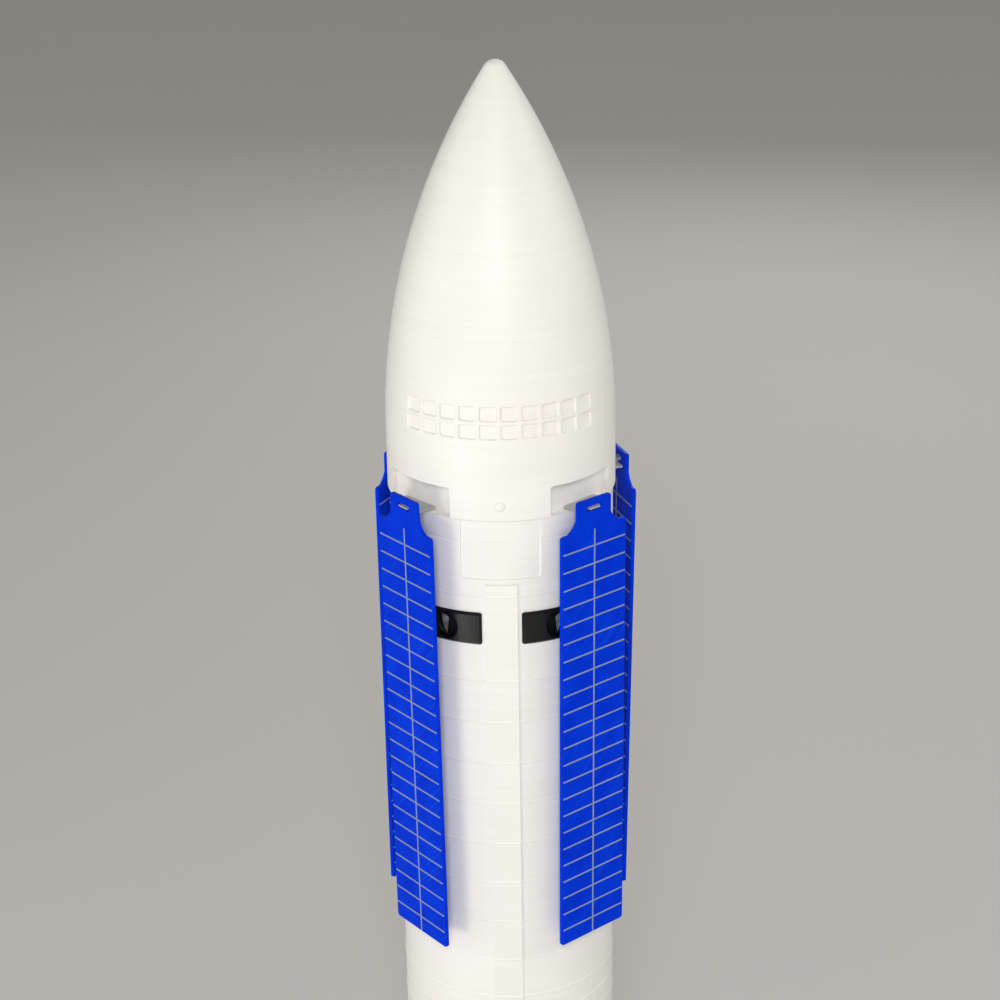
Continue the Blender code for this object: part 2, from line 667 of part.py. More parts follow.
def fairing_shape():
    """Blister that thickens from the top down; its back is flat and lies in the skirt's wall."""
    half = FAIRING_HALF_WIDTH
    inner = BODY_RADIUS - FAIRING_ROOT
    # Height, how far it stands proud, and its half width at the skirt and at its face
    rows = (
        (FAIRING_TOP_HEIGHT, FAIRING_TOP_PROUD, half * 0.45, half * 0.35),
        (FAIRING_TOP_HEIGHT - FAIRING_SHOULDER_DROP, FAIRING_SHOULDER_PROUD, half * 0.9, half * 0.6),
        (FAIRING_BOTTOM_HEIGHT + FAIRING_KNEE_RISE, FAIRING_PROUD, half, half * 0.66),
        (FAIRING_BOTTOM_HEIGHT, FAIRING_BOTTOM_PROUD, half, half * 0.66),
    )
    shape = bmesh.new()
    rings = []
    for height, proud, wide, face in rows:
        reach = BODY_RADIUS + proud
        side = reach - FAIRING_CHAMFER
        points = ((inner, -wide), (side, -wide), (reach, -face), (reach, face), (side, wide), (inner, wide))
        rings.append([shape.verts.new((x, y, height)) for x, y in points])
    for one, two in zip(rings, rings[1:]):
        for k in range(6):
            after = (k + 1) % 6
            shape.faces.new((one[k], one[after], two[after], two[k]))
    shape.faces.new(rings[0])
    shape.faces.new(rings[-1])
    bmesh.ops.triangulate(shape, faces=shape.faces)
    return shape


def make_leg(quarter, azimuth):
    """Fairing on the skirt, a strut with its sliding rod, and two braces, in one piece."""
    where = place_at(azimuth)
    shape = fairing_shape()
    shape.transform(where)
    leg = make_object("leg_" + quarter, shape, WHITE)
    ankle = Vector((FOOT_DISTANCE, 0, ANKLE_HEIGHT + GAP + ROD_RADIUS))
    knee = Vector((BODY_RADIUS + KNEE_PROUD, 0, FAIRING_BOTTOM_HEIGHT + KNEE_RISE))
    collar = knee.lerp(ankle, STRUT_SHARE)
    half_ankle = Vector((0, 0, ROD_RADIUS))
    hip = Vector((BODY_RADIUS + BRACE_PROUD, 0, FAIRING_BOTTOM_HEIGHT + BRACE_RISE))
    parts = {
        "strut": rod(knee, collar, STRUT_RADIUS, 14),
        "rod": rod(knee.lerp(ankle, 0.5), ankle, ROD_RADIUS, 12),
        "ankle": rod(ankle - half_ankle, ankle + half_ankle, ANKLE_RADIUS, 14),
    }
    for side, sign in (("left", -1), ("right", 1)):
        top = hip + Vector((0, sign * BRACE_HALF_SPREAD, 0))
        parts["brace_" + side] = rod(top, collar - Vector((0, 0, BRACE_DROP)), BRACE_RADIUS, 8)
    for name, piece in parts.items():
        piece.transform(where)
        combine(leg, make_object(f"{name}_{quarter}", piece), "UNION")
    reach = BODY_RADIUS + HOOP_PROUD + GAP
    space = turned([(reach, 0), (reach, SKIRT_TOP_HEIGHT)], BODY_SIDES)
    combine(leg, make_object("skirt_space_" + quarter, space), "DIFFERENCE")


def make_foot(quarter, azimuth):
    """Dished round pad with a short ankle."""
    rim = FOOT_RADIUS - FOOT_RIM
    profile = [(FOOT_RADIUS - FOOT_SOLE_SLOPE, 0), (FOOT_RADIUS, FOOT_SOLE_HEIGHT),
               (FOOT_RADIUS, FOOT_THICKNESS), (rim, FOOT_THICKNESS),
               (rim - FOOT_SOLE_HEIGHT, FOOT_THICKNESS - FOOT_DISH),
               (ANKLE_RADIUS + FOOT_RIM, FOOT_THICKNESS), (ANKLE_RADIUS, ANKLE_HEIGHT)]
    shape = turned(profile, 24)
    shape.transform(place_at(azimuth, FOOT_DISTANCE))
    make_object("foot_" + quarter, shape, WHITE)


def main():
    clear_scene()
    door_cutter = make_door_cutter()
    make_nose_section(door_cutter)
    make_barrels(door_cutter)
    make_skirt()
    make_engine_plate()
    make_engines()
    for place in PANELS:
        make_bracket(place)
        make_panel(place)
    for quarter, azimuth in QUARTERS.items():
        make_pod(quarter, azimuth)
        make_leg(quarter, azimuth)
        make_foot(quarter, azimuth)


main()
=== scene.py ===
"""The finish of a printed desktop model of a lunar lander rocket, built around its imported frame.

Metres, +Z up. The axis of the rocket is the Z axis, its feet stand on the floor at height 0, and
its cargo door faces -Y. An azimuth is measured from -Y towards +X.
"""

import json
import math

import bpy
from mathutils import Matrix, Vector


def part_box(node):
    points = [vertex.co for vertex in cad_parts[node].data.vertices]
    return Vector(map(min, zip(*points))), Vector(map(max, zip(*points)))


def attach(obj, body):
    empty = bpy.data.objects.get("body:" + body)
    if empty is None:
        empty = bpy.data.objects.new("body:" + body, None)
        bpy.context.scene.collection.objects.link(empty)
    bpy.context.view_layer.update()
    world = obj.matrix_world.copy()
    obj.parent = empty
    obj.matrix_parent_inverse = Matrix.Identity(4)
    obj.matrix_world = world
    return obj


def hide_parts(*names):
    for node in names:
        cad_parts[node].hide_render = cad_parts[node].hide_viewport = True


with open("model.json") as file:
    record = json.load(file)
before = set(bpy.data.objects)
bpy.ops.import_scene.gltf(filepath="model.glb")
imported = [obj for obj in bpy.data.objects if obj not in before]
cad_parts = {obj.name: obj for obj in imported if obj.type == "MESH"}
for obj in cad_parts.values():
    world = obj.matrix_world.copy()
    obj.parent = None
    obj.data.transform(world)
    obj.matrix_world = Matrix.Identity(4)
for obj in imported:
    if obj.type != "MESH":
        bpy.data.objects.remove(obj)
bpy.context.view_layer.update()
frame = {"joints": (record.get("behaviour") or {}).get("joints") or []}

# The view
# The camera stands above the tip and looks down at the front, a little from the right, so that
# the picture ends just below the panels.
MM = 0.001
camera_distance = 914.2 * MM
camera_height = 699.6 * MM
camera_azimuth = math.radians(1.0)
camera_pitch = math.radians(21.41)
camera_roll = math.radians(-0.94)
camera_yaw = math.radians(0.044)

bpy.ops.object.camera_add()
camera = bpy.context.object
camera.name = "camera"
camera.data.lens = 87.1
camera.data.sensor_width = 36.0
camera.data.clip_start = 10 * MM
camera.matrix_world = (
    Matrix.Rotation(camera_azimuth, 4, "Z")
    @ Matrix.Translation((0, -camera_distance, camera_height))
    @ Matrix.Rotation(math.pi / 2 - camera_pitch, 4, "X")
    @ Matrix.Rotation(camera_yaw, 4, "Y")
    @ Matrix.Rotation(camera_roll, 4, "Z")
)
bpy.context.scene.camera = camera

# Nose section
# The pointed top of the model, printed in white plastic in one piece, standing upright. It has a
# lip near its foot, two rows of windows in front, and a pocket behind the neck of each panel.
seam_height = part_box("nose_section")[0].z
tip_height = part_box("nose_section")[1].z
body_radius = 45.0 * MM
lip_height = 350.1 * MM
nose_radius = 46.0 * MM
nose_straight_top = 375.7 * MM
nose_sharp_length = 148.9 * MM
nose_tip_radius = 5.0 * MM
seam_chamfer = 0.3 * MM
seam_gap = seam_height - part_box("barrel_upper")[1].z
lip_round = 0.25 * MM
body_steps = 240

door_half_angle = math.radians(20.5)
door_bottom = 325.1 * MM
door_depth = 0.6 * MM
door_corner = 1.6 * MM
door_rim = 0.15 * MM

window_columns = 10
window_pitch = math.radians(10.4)
window_half_angle = math.radians(4.8)
window_bottoms = (383.0 * MM, 390.2 * MM)
window_height = 6.7 * MM
window_depth = 0.95 * MM
window_corner = 0.8 * MM
window_rim = 0.6 * MM

print_layer = 0.2 * MM
print_line = 0.6 * MM

pocket_distance = 40.3 * MM
pocket_half_width = 17.0 * MM
pocket_top = 362.7 * MM
pocket_corner = 1.2 * MM
pocket_azimuths = {
    "front_right": math.radians(46.9),
    "side_right": math.radians(112.8),
    "rear": math.radians(180.0),
    "side_left": math.radians(-117.0),
    "front_left": math.radians(-46.9),
}

boss_height = 356.2 * MM
boss_radius = 2.1 * MM
boss_flatness = 0.55

# Each panel's joint gives the place of its hinge; local -Y points out of the panel's face.
hinges = {}
for joint in frame["joints"]:
    along = Vector(joint["axis"])
    facing = Matrix.Rotation(math.atan2(-along.y, -along.x), 4, "Z")
    hinges[joint["name"].removeprefix("swing_")] = Matrix.Translation(joint["pos_m"]) @ facing


def azimuth_of(place):
    """Azimuth of a hinge, from the front towards the right."""
    hinge = hinges[place].translation
    return math.atan2(hinge.x, -hinge.y)


def pick(obj):
    """Selects one object alone and makes it the active one."""
    bpy.ops.object.select_all(action="DESELECT")
    obj.select_set(True)
    bpy.context.view_layer.objects.active = obj


def settle(obj, name=None):
    """Moves an object's place into its mesh, and names both."""
    pick(obj)
    bpy.ops.object.transform_apply(location=True, rotation=True, scale=True)
    if name:
        obj.name = name
    obj.data.name = obj.name
    return obj


def turn(obj, azimuth):
    """Turns a piece round the rocket's axis, from the front to an azimuth."""
    obj.matrix_world = Matrix.Rotation(azimuth, 4, "Z") @ obj.matrix_world
    return settle(obj)


def use_modifier(obj, kind, **settings):
    """Adds a modifier and applies it."""
    modifier = obj.modifiers.new(kind, kind)
    for name, value in settings.items():
        setattr(modifier, name, value)
    pick(obj)
    bpy.ops.object.modifier_apply(modifier=modifier.name)


def cut(obj, tool, operation="DIFFERENCE"):
    """Cuts an object with another one, or joins the two, and throws the tool away."""
    use_modifier(obj, "BOOLEAN", object=tool, operation=operation)
    bpy.data.objects.remove(tool)


def extrude(step):
    """Extrudes what is selected along a vector."""
    bpy.ops.mesh.extrude_region_move(TRANSFORM_OT_translate={"value": step})


def draw_line(points):
    """Starts a mesh as a line through the points, and leaves it selected in edit mode."""
    bpy.ops.object.select_all(action="DESELECT")
    bpy.ops.mesh.primitive_plane_add(size=MM, location=points[0])
    bpy.ops.object.mode_set(mode="EDIT")
    bpy.ops.mesh.merge(type="CENTER")
    for one, two in zip(points, points[1:]):
        extrude(two - one)
    bpy.ops.mesh.select_all(action="SELECT")


def finish_mesh(name):
    """Turns the selected faces outwards, leaves edit mode and names the piece."""
    bpy.ops.mesh.normals_make_consistent(inside=False)
    bpy.ops.object.mode_set(mode="OBJECT")
    return settle(bpy.context.object, name)


def spun(name, profile, steps=body_steps, closed=False):
    """Draws (radius, height) points one after the other, and spins the line round the Z axis."""
    points = [Vector((0, -radius, height)) for radius, height in profile]
    if closed:
        points.append(points[0])
    draw_line(points)
    bpy.ops.mesh.spin(steps=steps, angle=2 * math.pi, center=(0, 0, 0), axis=(0, 0, 1))
    bpy.ops.mesh.select_all(action="SELECT")
    bpy.ops.mesh.remove_doubles(threshold=MM / 500)
    return finish_mesh(name)


def arc(centre, radius, start, end, steps):
    """Points on an arc, from one angle to the other, in degrees."""
    points = []
    for k in range(steps + 1):
        angle = math.radians(start + (end - start) * k / steps)
        points.append((centre[0] + radius * math.cos(angle), centre[1] + radius * math.sin(angle)))
    return points


def round_in(radius, steps, flat_first):
    """Insets the selected face along a quarter of a circle, deeper each time."""
    for k in range(steps):
        one = math.pi / 2 * k / steps
        two = math.pi / 2 * (k + 1) / steps
        along = radius * (math.sin(two) - math.sin(one))
        across = radius * (math.cos(one) - math.cos(two))
        inset, depth = (along, across) if flat_first else (across, along)
        bpy.ops.mesh.inset(thickness=inset, depth=depth)


def face_in_front(width, height, corner, middle, outwards, square_below=False):
    """A flat face with round corners in front of the body, left in edit mode."""
    bpy.ops.object.select_all(action="DESELECT")
    tilt = math.pi / 2 if outwards else -math.pi / 2
    bpy.ops.mesh.primitive_plane_add(size=1, location=middle, rotation=(tilt, 0, 0))
    obj = bpy.context.object
    obj.scale = (width, height, 1)
    settle(obj, "face")
    for vertex in obj.data.vertices:
        vertex.select = vertex.co.z > middle[2] or not square_below
    bpy.ops.object.mode_set(mode="EDIT")
    bpy.ops.mesh.select_mode(type="VERT")
    bpy.ops.mesh.bevel(offset=corner, segments=5, affect="VERTICES")
    bpy.ops.mesh.select_all(action="SELECT")
    return obj


def recess_tool(width, height, corner, depth, middle, rim, clear=3 * MM):
    """A cutter for a recess in front, its rim rounded; the surface that it cuts is at middle."""
    start = Vector(middle) - Vector((0, clear, 0))
    obj = face_in_front(width + 2 * rim, height + 2 * rim, corner + rim, start, outwards=False)
    extrude((0, clear, 0))
    round_in(rim, steps=3, flat_first=True)
    extrude((0, depth - rim, 0))
    bpy.ops.object.mode_set(mode="OBJECT")
    return obj


def bend_round(obj, radius):
    """Cuts a flat piece into narrow slices and bends it, so that its plane y=0 gets that radius."""
    pick(obj)
    slice_width = 1.2 * MM
    count = math.ceil(obj.dimensions.x / 2 / slice_width)
    bpy.ops.object.mode_set(mode="EDIT")
    for k in range(1 - count, count):
        bpy.ops.mesh.select_all(action="SELECT")
        bpy.ops.mesh.bisect(plane_co=(k * slice_width, 0, 0), plane_no=(1, 0, 0))
    bpy.ops.object.mode_set(mode="OBJECT")
    use_modifier(obj, "SIMPLE_DEFORM", deform_method="BEND", deform_axis="Z",
                 angle=obj.dimensions.x / radius)
    obj.location.y -= radius
    return settle(obj)


nose_arc_radius = (nose_radius ** 2 + nose_sharp_length ** 2) / (2 * nose_radius)


def nose_reach(height):
    """Radius of the nose at a height on its curved side."""
    rise = max(0.0, height - nose_straight_top)
    return math.sqrt(nose_arc_radius ** 2 - rise ** 2) - (nose_arc_radius - nose_radius)


def nose_profile():
    """From the middle of the foot, up the lip and the curved side, to the tip."""
    points = [(0, seam_height), (body_radius - seam_chamfer, seam_height)]
    points += [(body_radius, seam_height + seam_chamfer), (body_radius, lip_height - lip_round)]
    points += arc((body_radius + lip_round, lip_height - lip_round), lip_round, 180, 90, 3)
    points += arc((nose_radius - lip_round, lip_height + lip_round), lip_round, -90, 0, 3)
    tip_centre = tip_height - nose_tip_radius
    slope = math.asin((tip_centre - nose_straight_top) / (nose_arc_radius - nose_tip_radius))
    side_steps = 64
    for k in range(side_steps + 1):
        height = nose_straight_top + nose_arc_radius * math.sin(slope * k / side_steps)
        points.append((nose_reach(height), height))
    points += arc((0, tip_centre), nose_tip_radius, math.degrees(slope), 90, 10)[1:-1]
    return points + [(0, tip_height)]


def repeated(obj, count, step):
    """Repeats a piece along a vector, in one mesh."""
    use_modifier(obj, "ARRAY", count=count, use_relative_offset=False,
                 use_constant_offset=True, constant_offset_displace=step)


def window_tool():
    """All the windows' cutters, laid out flat, leaned like the side of the nose, and bent round it."""
    rows = []
    width = 2 * (window_half_angle * nose_radius - window_rim)
    height = window_height - 2 * window_rim
    pitch = window_pitch * nose_radius
    for bottom in window_bottoms:
        low, high = nose_reach(bottom), nose_reach(bottom + window_height)
        middle = (0, 0, window_height / 2)
        row = recess_tool(width, height, window_corner, window_depth, middle, window_rim, clear=2 * MM)
        lean = Matrix.Rotation(-math.atan((low - high) / window_height), 4, "X")
        row.matrix_world = Matrix.Translation((0, nose_radius - low, bottom)) @ lean
        settle(row)
        repeated(row, window_columns, (pitch, 0, 0))
        row.location.x = -pitch * (window_columns - 1) / 2
        rows.append(settle(row))
    pick(rows[0])
    rows[1].select_set(True)
    bpy.ops.object.join()
    return bend_round(rows[0], nose_radius)


def door_tool():
    """Cutter for the cargo door's shallow recess, which runs across the seam up to the lip."""
    height = lip_height - door_bottom
    middle = (0, 0, door_bottom + height / 2)
    width = 2 * door_half_angle * body_radius
    tool = recess_tool(width, height, door_corner, door_depth, middle, door_rim)
    return bend_round(tool, body_radius)


def pocket_tool(azimuth):
    """Cutter for one pocket, with a flat back wall and its floor on the lip."""
    depth = 10 * MM
    height = pocket_top - lip_height
    middle = (0, -pocket_distance - depth, lip_height + height / 2)
    width = 2 * pocket_half_width
    tool = face_in_front(width, height, pocket_corner, middle, outwards=False, square_below=True)
    extrude((0, depth, 0))
    bpy.ops.object.mode_set(mode="OBJECT")
    return turn(tool, azimuth)


class Wire:
    """One output in a finish's node tree, which can be used in ordinary sums."""

    def __init__(self, tree, socket=None):
        self.tree = tree
        self.socket = socket

    def node(self, kind, settings=None, sockets=None, output=0):
        """Adds a node of any kind; its settings come first, then its sockets' values or wires."""
        made = self.tree.nodes.new(kind)
        for name, value in (settings or {}).items():
            setattr(made, name, value)
        for key, value in (sockets or {}).items():
            if isinstance(value, Wire):
                self.tree.links.new(value.socket, made.inputs[key])
            else:
                made.inputs[key].default_value = value
        return Wire(self.tree, made.outputs[output])

    def maths(self, operation, one, two=0.0):
        """Adds a sum on one or two wires or numbers."""
        return self.node("ShaderNodeMath", {"operation": operation}, {0: one, 1: two})

    def __add__(self, other):
        return self.maths("ADD", self, other)

    __radd__ = __add__

    def __sub__(self, other):
        return self.maths("SUBTRACT", self, other)

    def __rsub__(self, other):
        return self.maths("SUBTRACT", other, self)

    def __mul__(self, other):
        return self.maths("MULTIPLY", self, other)

    __rmul__ = __mul__

    def __truediv__(self, other):
        return self.maths("DIVIDE", self, other)

    def limited(self, low, high):
        """Runs from 0 to 1 as the value goes from low to high, with soft ends."""
        settings = {"interpolation_type": "SMOOTHSTEP"}
        return self.node("ShaderNodeMapRange", settings, {"Value": self, "From Min": low, "From Max": high})

    def ripple(self, pitch):
        """Rises and falls evenly between 0 and 1, once in each pitch."""
        return self.maths("PINGPONG", self, pitch / 2) / (pitch / 2)


def new_finish(name, roughness, metallic=0.0):
    """A Principled material; returns it with its shader and a wire with the place on the piece."""
    finish = bpy.data.materials.new(name)
    finish.use_nodes = True
    tree = finish.node_tree
    shader = tree.nodes["Principled BSDF"]
    shader.inputs["Roughness"].default_value = roughness
    shader.inputs["Metallic"].default_value = metallic
    place = Wire(tree).node("ShaderNodeTexCoord", output="Object")
    return finish, shader, place


def coordinates(place):
    """The three coordinates of a place, as separate wires."""
    split = place.node("ShaderNodeSeparateXYZ", None, {0: place})
    return [Wire(split.tree, output) for output in split.socket.node.outputs]


def noise(place, scale, detail, stretch=(1, 1, 1)):
    """Noise between 0 and 1 in object space, its scale in spots per metre."""
    moved = place.node("ShaderNodeMapping", None, {"Vector": place, "Scale": stretch})
    return place.node("ShaderNodeTexNoise", None, {"Vector": moved, "Scale": scale, "Detail": detail})


def blend_colours(mask, one, two):
    """Goes from one colour to the other as the mask goes from 0 to 1."""
    return mask.node("ShaderNodeMix", {"data_type": "RGBA"}, {0: mask, 6: one, 7: two}, output=2)


def plug(shader, socket, wire):
    """Links a wire to one of the shader's sockets."""
    wire.tree.links.new(wire.socket, shader.inputs[socket])


def bumped(shader, height, distance, strength):
    """Feeds a height between 0 and 1 to the shader's normal."""
    sockets = {"Height": height, "Distance": distance, "Strength": strength}
    plug(shader, "Normal", height.node("ShaderNodeBump", None, sockets))


def white_finish():
    """Warm white plastic in thin layers, with faint bands and a seam at the back where layers start."""
    finish, shader, place = new_finish("white_print", 0.46)
    x, y, z = coordinates(place)
    layers = z.ripple(print_layer)
    bands = noise(place, 60, 3, (0.25, 0.25, 9))
    clouds = noise(place, 40, 3)
    grain = noise(place, 2500, 2)
    shade = 0.5 * bands + 0.5 * clouds
    colour = blend_colours(shade.limited(0.3, 0.7), (0.835, 0.815, 0.765, 1), (0.865, 0.85, 0.805, 1))
    plug(shader, "Base Color", colour)
    plug(shader, "Roughness", 0.4 + 0.12 * grain + 0.05 * bands)
    behind = y.limited(0, 10 * MM)
    near_seam = 1 - x.maths("ABSOLUTE", x + 0.8 * MM * (grain - 0.5)).limited(0.15 * MM, 0.5 * MM)
    surface = 0.35 * layers + 0.3 * grain + 0.03 * bands + 1.2 * behind * near_seam
    bumped(shader, surface, 0.03 * MM, 0.5)
    return finish


white = white_finish()


def dress(obj, finish, body="hull", replaced=(), degrees=30):
    """Gives a piece its finish and its body, and lets it stand for its CAD nodes."""
    pick(obj)
    bpy.ops.object.shade_smooth_by_angle(angle=math.radians(degrees))
    use_modifier(obj, "WEIGHTED_NORMAL", keep_sharp=True)
    obj.data.materials.clear()
    obj.data.materials.append(finish)
    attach(obj, body)
    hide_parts(*replaced)


nose = spun("nose", nose_profile())
cut(nose, door_tool())
cut(nose, window_tool())
for azimuth in pocket_azimuths.values():
    cut(nose, pocket_tool(azimuth))
bpy.ops.object.select_all(action="DESELECT")
bpy.ops.mesh.primitive_uv_sphere_add(segments=40, ring_count=20, radius=boss_radius,
                                     location=(0, -nose_radius, boss_height))
bpy.context.object.scale.y = boss_flatness
cut(nose, settle(bpy.context.object, "boss"), "UNION")
dress(nose, white, replaced=["nose_section"])

# Barrels
# Two white tubes printed upright, which carry the nose. A fine hoop runs round them at every ring
# of the real rocket's plates, and a flat strip runs down the front and under the hoops.
joint_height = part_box("barrel_upper")[0].z
lower_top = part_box("barrel_lower")[1].z
lower_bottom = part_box("barrel_lower")[0].z
upper_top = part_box("barrel_upper")[1].z
hoop_top_height = 317.9 * MM
hoop_pitch = 18.3 * MM
hoop_count = 16
hoop_left_out = 1
hoop_half_height = 0.55 * MM
hoop_proud = 0.22 * MM
hoop_steps = 6
strip_half_width = 6.3 * MM
strip_proud = 0.5 * MM
strip_root = body_radius - 3 * MM
strip_top = 323.0 * MM


def hooped_wall(reach, low, high):
    """Points up a wall, with a low rounded bead at each hoop between the two levels."""
    points = [(reach, low)]
    for k in reversed(range(hoop_count)):
        middle = hoop_top_height - hoop_pitch * k
        if k == hoop_left_out or not low < middle - hoop_half_height < middle + hoop_half_height < high:
            continue
        for step in range(hoop_steps + 1):
            share = 2 * step / hoop_steps - 1
            swell = hoop_proud * math.cos(share * math.pi / 2)
            points.append((reach + swell, middle + share * hoop_half_height))
    return points + [(reach, high)]


def barrel_profile(low, high):
    """From the middle of the foot, up the hooped wall, to the middle of the face under the seam."""
    wall = hooped_wall(body_radius, low + seam_chamfer, high - seam_chamfer)
    edge = body_radius - seam_chamfer
    return [(0, low), (edge, low)] + wall + [(edge, high), (edge, high + seam_gap), (0, high + seam_gap)]


def drawn(name, points, pull):
    """Draws a closed outline point by point, fills it, and pulls it out along a vector."""
    draw_line([Vector(point) for point in points])
    bpy.ops.mesh.edge_face_add()
    extrude(pull)
    bpy.ops.mesh.select_all(action="SELECT")
    return finish_mesh(name)


def strip(low, high):
    """The flat strip on one barrel: its side view, drawn and pulled out to its width."""
    outline = hooped_wall(body_radius + strip_proud, low, high)
    outline += [(strip_root, high), (strip_root, low)]
    points = [(-strip_half_width, -reach, height) for reach, height in outline]
    return drawn("strip", points, (2 * strip_half_width, 0, 0))


def aimed(azimuth, distance, height):
    """Matrix of a place on the body: local +Z points out of it, and local +Y up."""
    outwards = Matrix.Rotation(math.pi / 2, 4, "X")
    return Matrix.Rotation(azimuth, 4, "Z") @ Matrix.Translation((0, -distance, height)) @ outwards


def joined(pieces, name):
    """Makes one object of several."""
    pick(pieces[0])
    for piece in pieces:
        piece.select_set(True)
    bpy.ops.object.join()
    return settle(bpy.context.object, name)


quarters = {
    "front_right": math.radians(45),
    "rear_right": math.radians(135),
    "rear_left": math.radians(-135),
    "front_left": math.radians(-45),
}
pod_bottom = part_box("pod_front_right")[0].z
pod_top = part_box("pod_front_right")[1].z
pod_middle = (pod_bottom + pod_top) / 2
thruster_offsets = (math.radians(-16.0), math.radians(16.0))
recess_radius = 5.4 * MM
recess_floor = 42.8 * MM
cup_wall = 0.9 * MM
cup_gap = 0.3 * MM
hole_length = 6 * MM


def cup_holes():
    """Cutter for the holes in the barrel that take the cups of all four pods."""
    reach = recess_radius + cup_wall + cup_gap
    holes = []
    for azimuth in quarters.values():
        for offset in thruster_offsets:
            hole = spun("hole", [(0, 0), (reach, 0), (reach, hole_length), (0, hole_length)], steps=48)
            hole.matrix_world = aimed(azimuth + offset, recess_floor - cup_wall - cup_gap, pod_middle)
            holes.append(settle(hole))
    return joined(holes, "holes")


upper = spun("barrel_top", barrel_profile(joint_height, upper_top))
cut(upper, strip(joint_height + seam_chamfer, strip_top), "UNION")
cut(upper, door_tool())
cut(upper, cup_holes())
dress(upper, white, replaced=["barrel_upper"])

lower = spun("barrel_foot", barrel_profile(lower_bottom, lower_top))
cut(lower, strip(lower_bottom + seam_chamfer, lower_top - seam_chamfer), "UNION")
dress(lower, white, replaced=["barrel_lower"])

# Brackets
# A thin silver plate lies on the floor of each pocket, and a narrow hook stands on its outer end
# and goes through the slot in its panel. Both are printed flat, in fine diagonal lines.
bracket_thickness = 0.8 * MM
bracket_half_width = 8.7 * MM
bracket_edge = 0.22 * MM
bracket_shift = {"front_right": 3.1 * MM, "side_right": 0, "rear": 0, "side_left": 0, "front_left": -4.2 * MM}
tab_half_width = 2.8 * MM
tab_end = 1.1 * MM
hook_front = -1.5 * MM
hook_back = hook_front - bracket_thickness
panel_thickness = 1.6 * MM
silver_colour = (0.42, 0.42, 0.44)


def measured_on(piece, place):
    """A place measured in a piece's own space, which its matrix gives."""
    sockets = {"Vector": place, "Location": piece.translation, "Rotation": piece.to_euler()}
    return place.node("ShaderNodeMapping", {"vector_type": "TEXTURE"}, sockets)


def shaded(colour, share):
    """A colour made darker or lighter, with its alpha."""
    return tuple(share * part for part in colour) + (1,)


def silver_finish(name, base, metallic, piece=None):
    """Silver-grey plastic laid in fine diagonal lines, with faint darker spots."""
    finish, shader, place = new_finish(name, 0.36, metallic)
    if piece:
        place = measured_on(piece, place)
    x, y, z = coordinates(place)
    lines = (x + y + z).ripple(print_line)
    clouds = noise(place, 300, 3)
    mask = 0.35 * clouds + 0.65 * lines
    plug(shader, "Base Color", blend_colours(mask, shaded(base, 0.8), shaded(base, 1.25)))
    plug(shader, "Roughness", 0.28 + 0.2 * clouds)
    bumped(shader, 0.7 * lines + 0.3 * clouds, 0.04 * MM, 0.5)
    return finish


def round_edges(obj, width, segments, degrees):
    """Rounds the edges that are sharper than an angle."""
    use_modifier(obj, "BEVEL", width=width, segments=segments, angle_limit=math.radians(degrees))


def bracket(place):
    """One bracket: its plate lies in line with the pocket, and its hook with the panel's slot."""
    hinge = hinges[place].translation
    distance = Vector((hinge.x, hinge.y)).length
    twist = math.atan2(hinges[place][1][0], hinges[place][0][0]) - azimuth_of(place)
    off_wall = pocket_azimuths[place] - azimuth_of(place)
    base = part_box("bracket_" + place)[0].z
    inner = -pocket_distance / math.cos(off_wall)
    outer = -distance - hook_front + bracket_thickness / 2
    near = bracket_shift[place] - bracket_half_width
    far = bracket_shift[place] + bracket_half_width
    corners = [(side, inner + side * math.tan(off_wall)) for side in (far, near)]
    corners += [(side, outer + side * math.tan(twist)) for side in (near, far)]
    plate = drawn("plate", [(x, y, base) for x, y in corners], (0, 0, bracket_thickness))
    turn(plate, azimuth_of(place))
    low = base - hinge.z
    half = bracket_thickness / 2
    side = ((-hook_back, low), (-hook_front, low), (-hook_front, -half), (-tab_end, -half), (-tab_end, half),
            (-hook_back, half))
    hook = drawn("hook", [(-tab_half_width, y, z) for y, z in side], (2 * tab_half_width, 0, 0))
    hook.matrix_world = hinges[place]
    cut(plate, settle(hook), "UNION")
    plate.name = "holder_" + place
    round_edges(plate, bracket_edge, segments=3, degrees=40)
    facing = Matrix.Rotation(azimuth_of(place), 4, "Z")
    finish = silver_finish("silver_" + place, silver_colour, 0.3, facing)
    dress(plate, finish, replaced=["bracket_" + place])


for place in hinges:
    bracket(place)

# Solar panels
# Five flat blue plates, each with a narrower neck and a slot that hangs loosely on its hook. The
# raised silver lines on both faces were printed in the same go, and mark the rows of cells.
panel_half_width = 17.4 * MM
panel_bottom = -190.1 * MM
panel_shoulder = -8.4 * MM
panel_top = 3.9 * MM
panel_neck = 9.0 * MM
panel_flare = 4.6 * MM
panel_flatness = 0.6
panel_corner = 1.2 * MM
panel_edge = 0.22 * MM
panel_lean = {"front_right": 0.0, "side_right": 1.2, "rear": 0.5, "side_left": 0.3, "front_left": 0.3}
panel_swing = {"front_right": 0.5, "side_right": 0.0, "rear": 0.0, "side_left": 0.0, "front_left": -0.7}
slot_half_length = 3.85 * MM
slot_half_height = 1.0 * MM
slot_corner = 0.5 * MM
line_top = -15.8 * MM
line_pitch = 7.6 * MM
line_count = 23
line_half_length = 16.8 * MM
line_width = 0.7 * MM
line_proud = 0.28 * MM
upright_lower = 0.04 * MM
line_round = 0.2 * MM
line_corner = 0.28 * MM
line_sunk = 0.05 * MM
upright_rise = 7.0 * MM


def mirrored(right):
    """Closes an outline whose right half is given from the bottom up."""
    return right + [(-x, z) for x, z in reversed(right)]


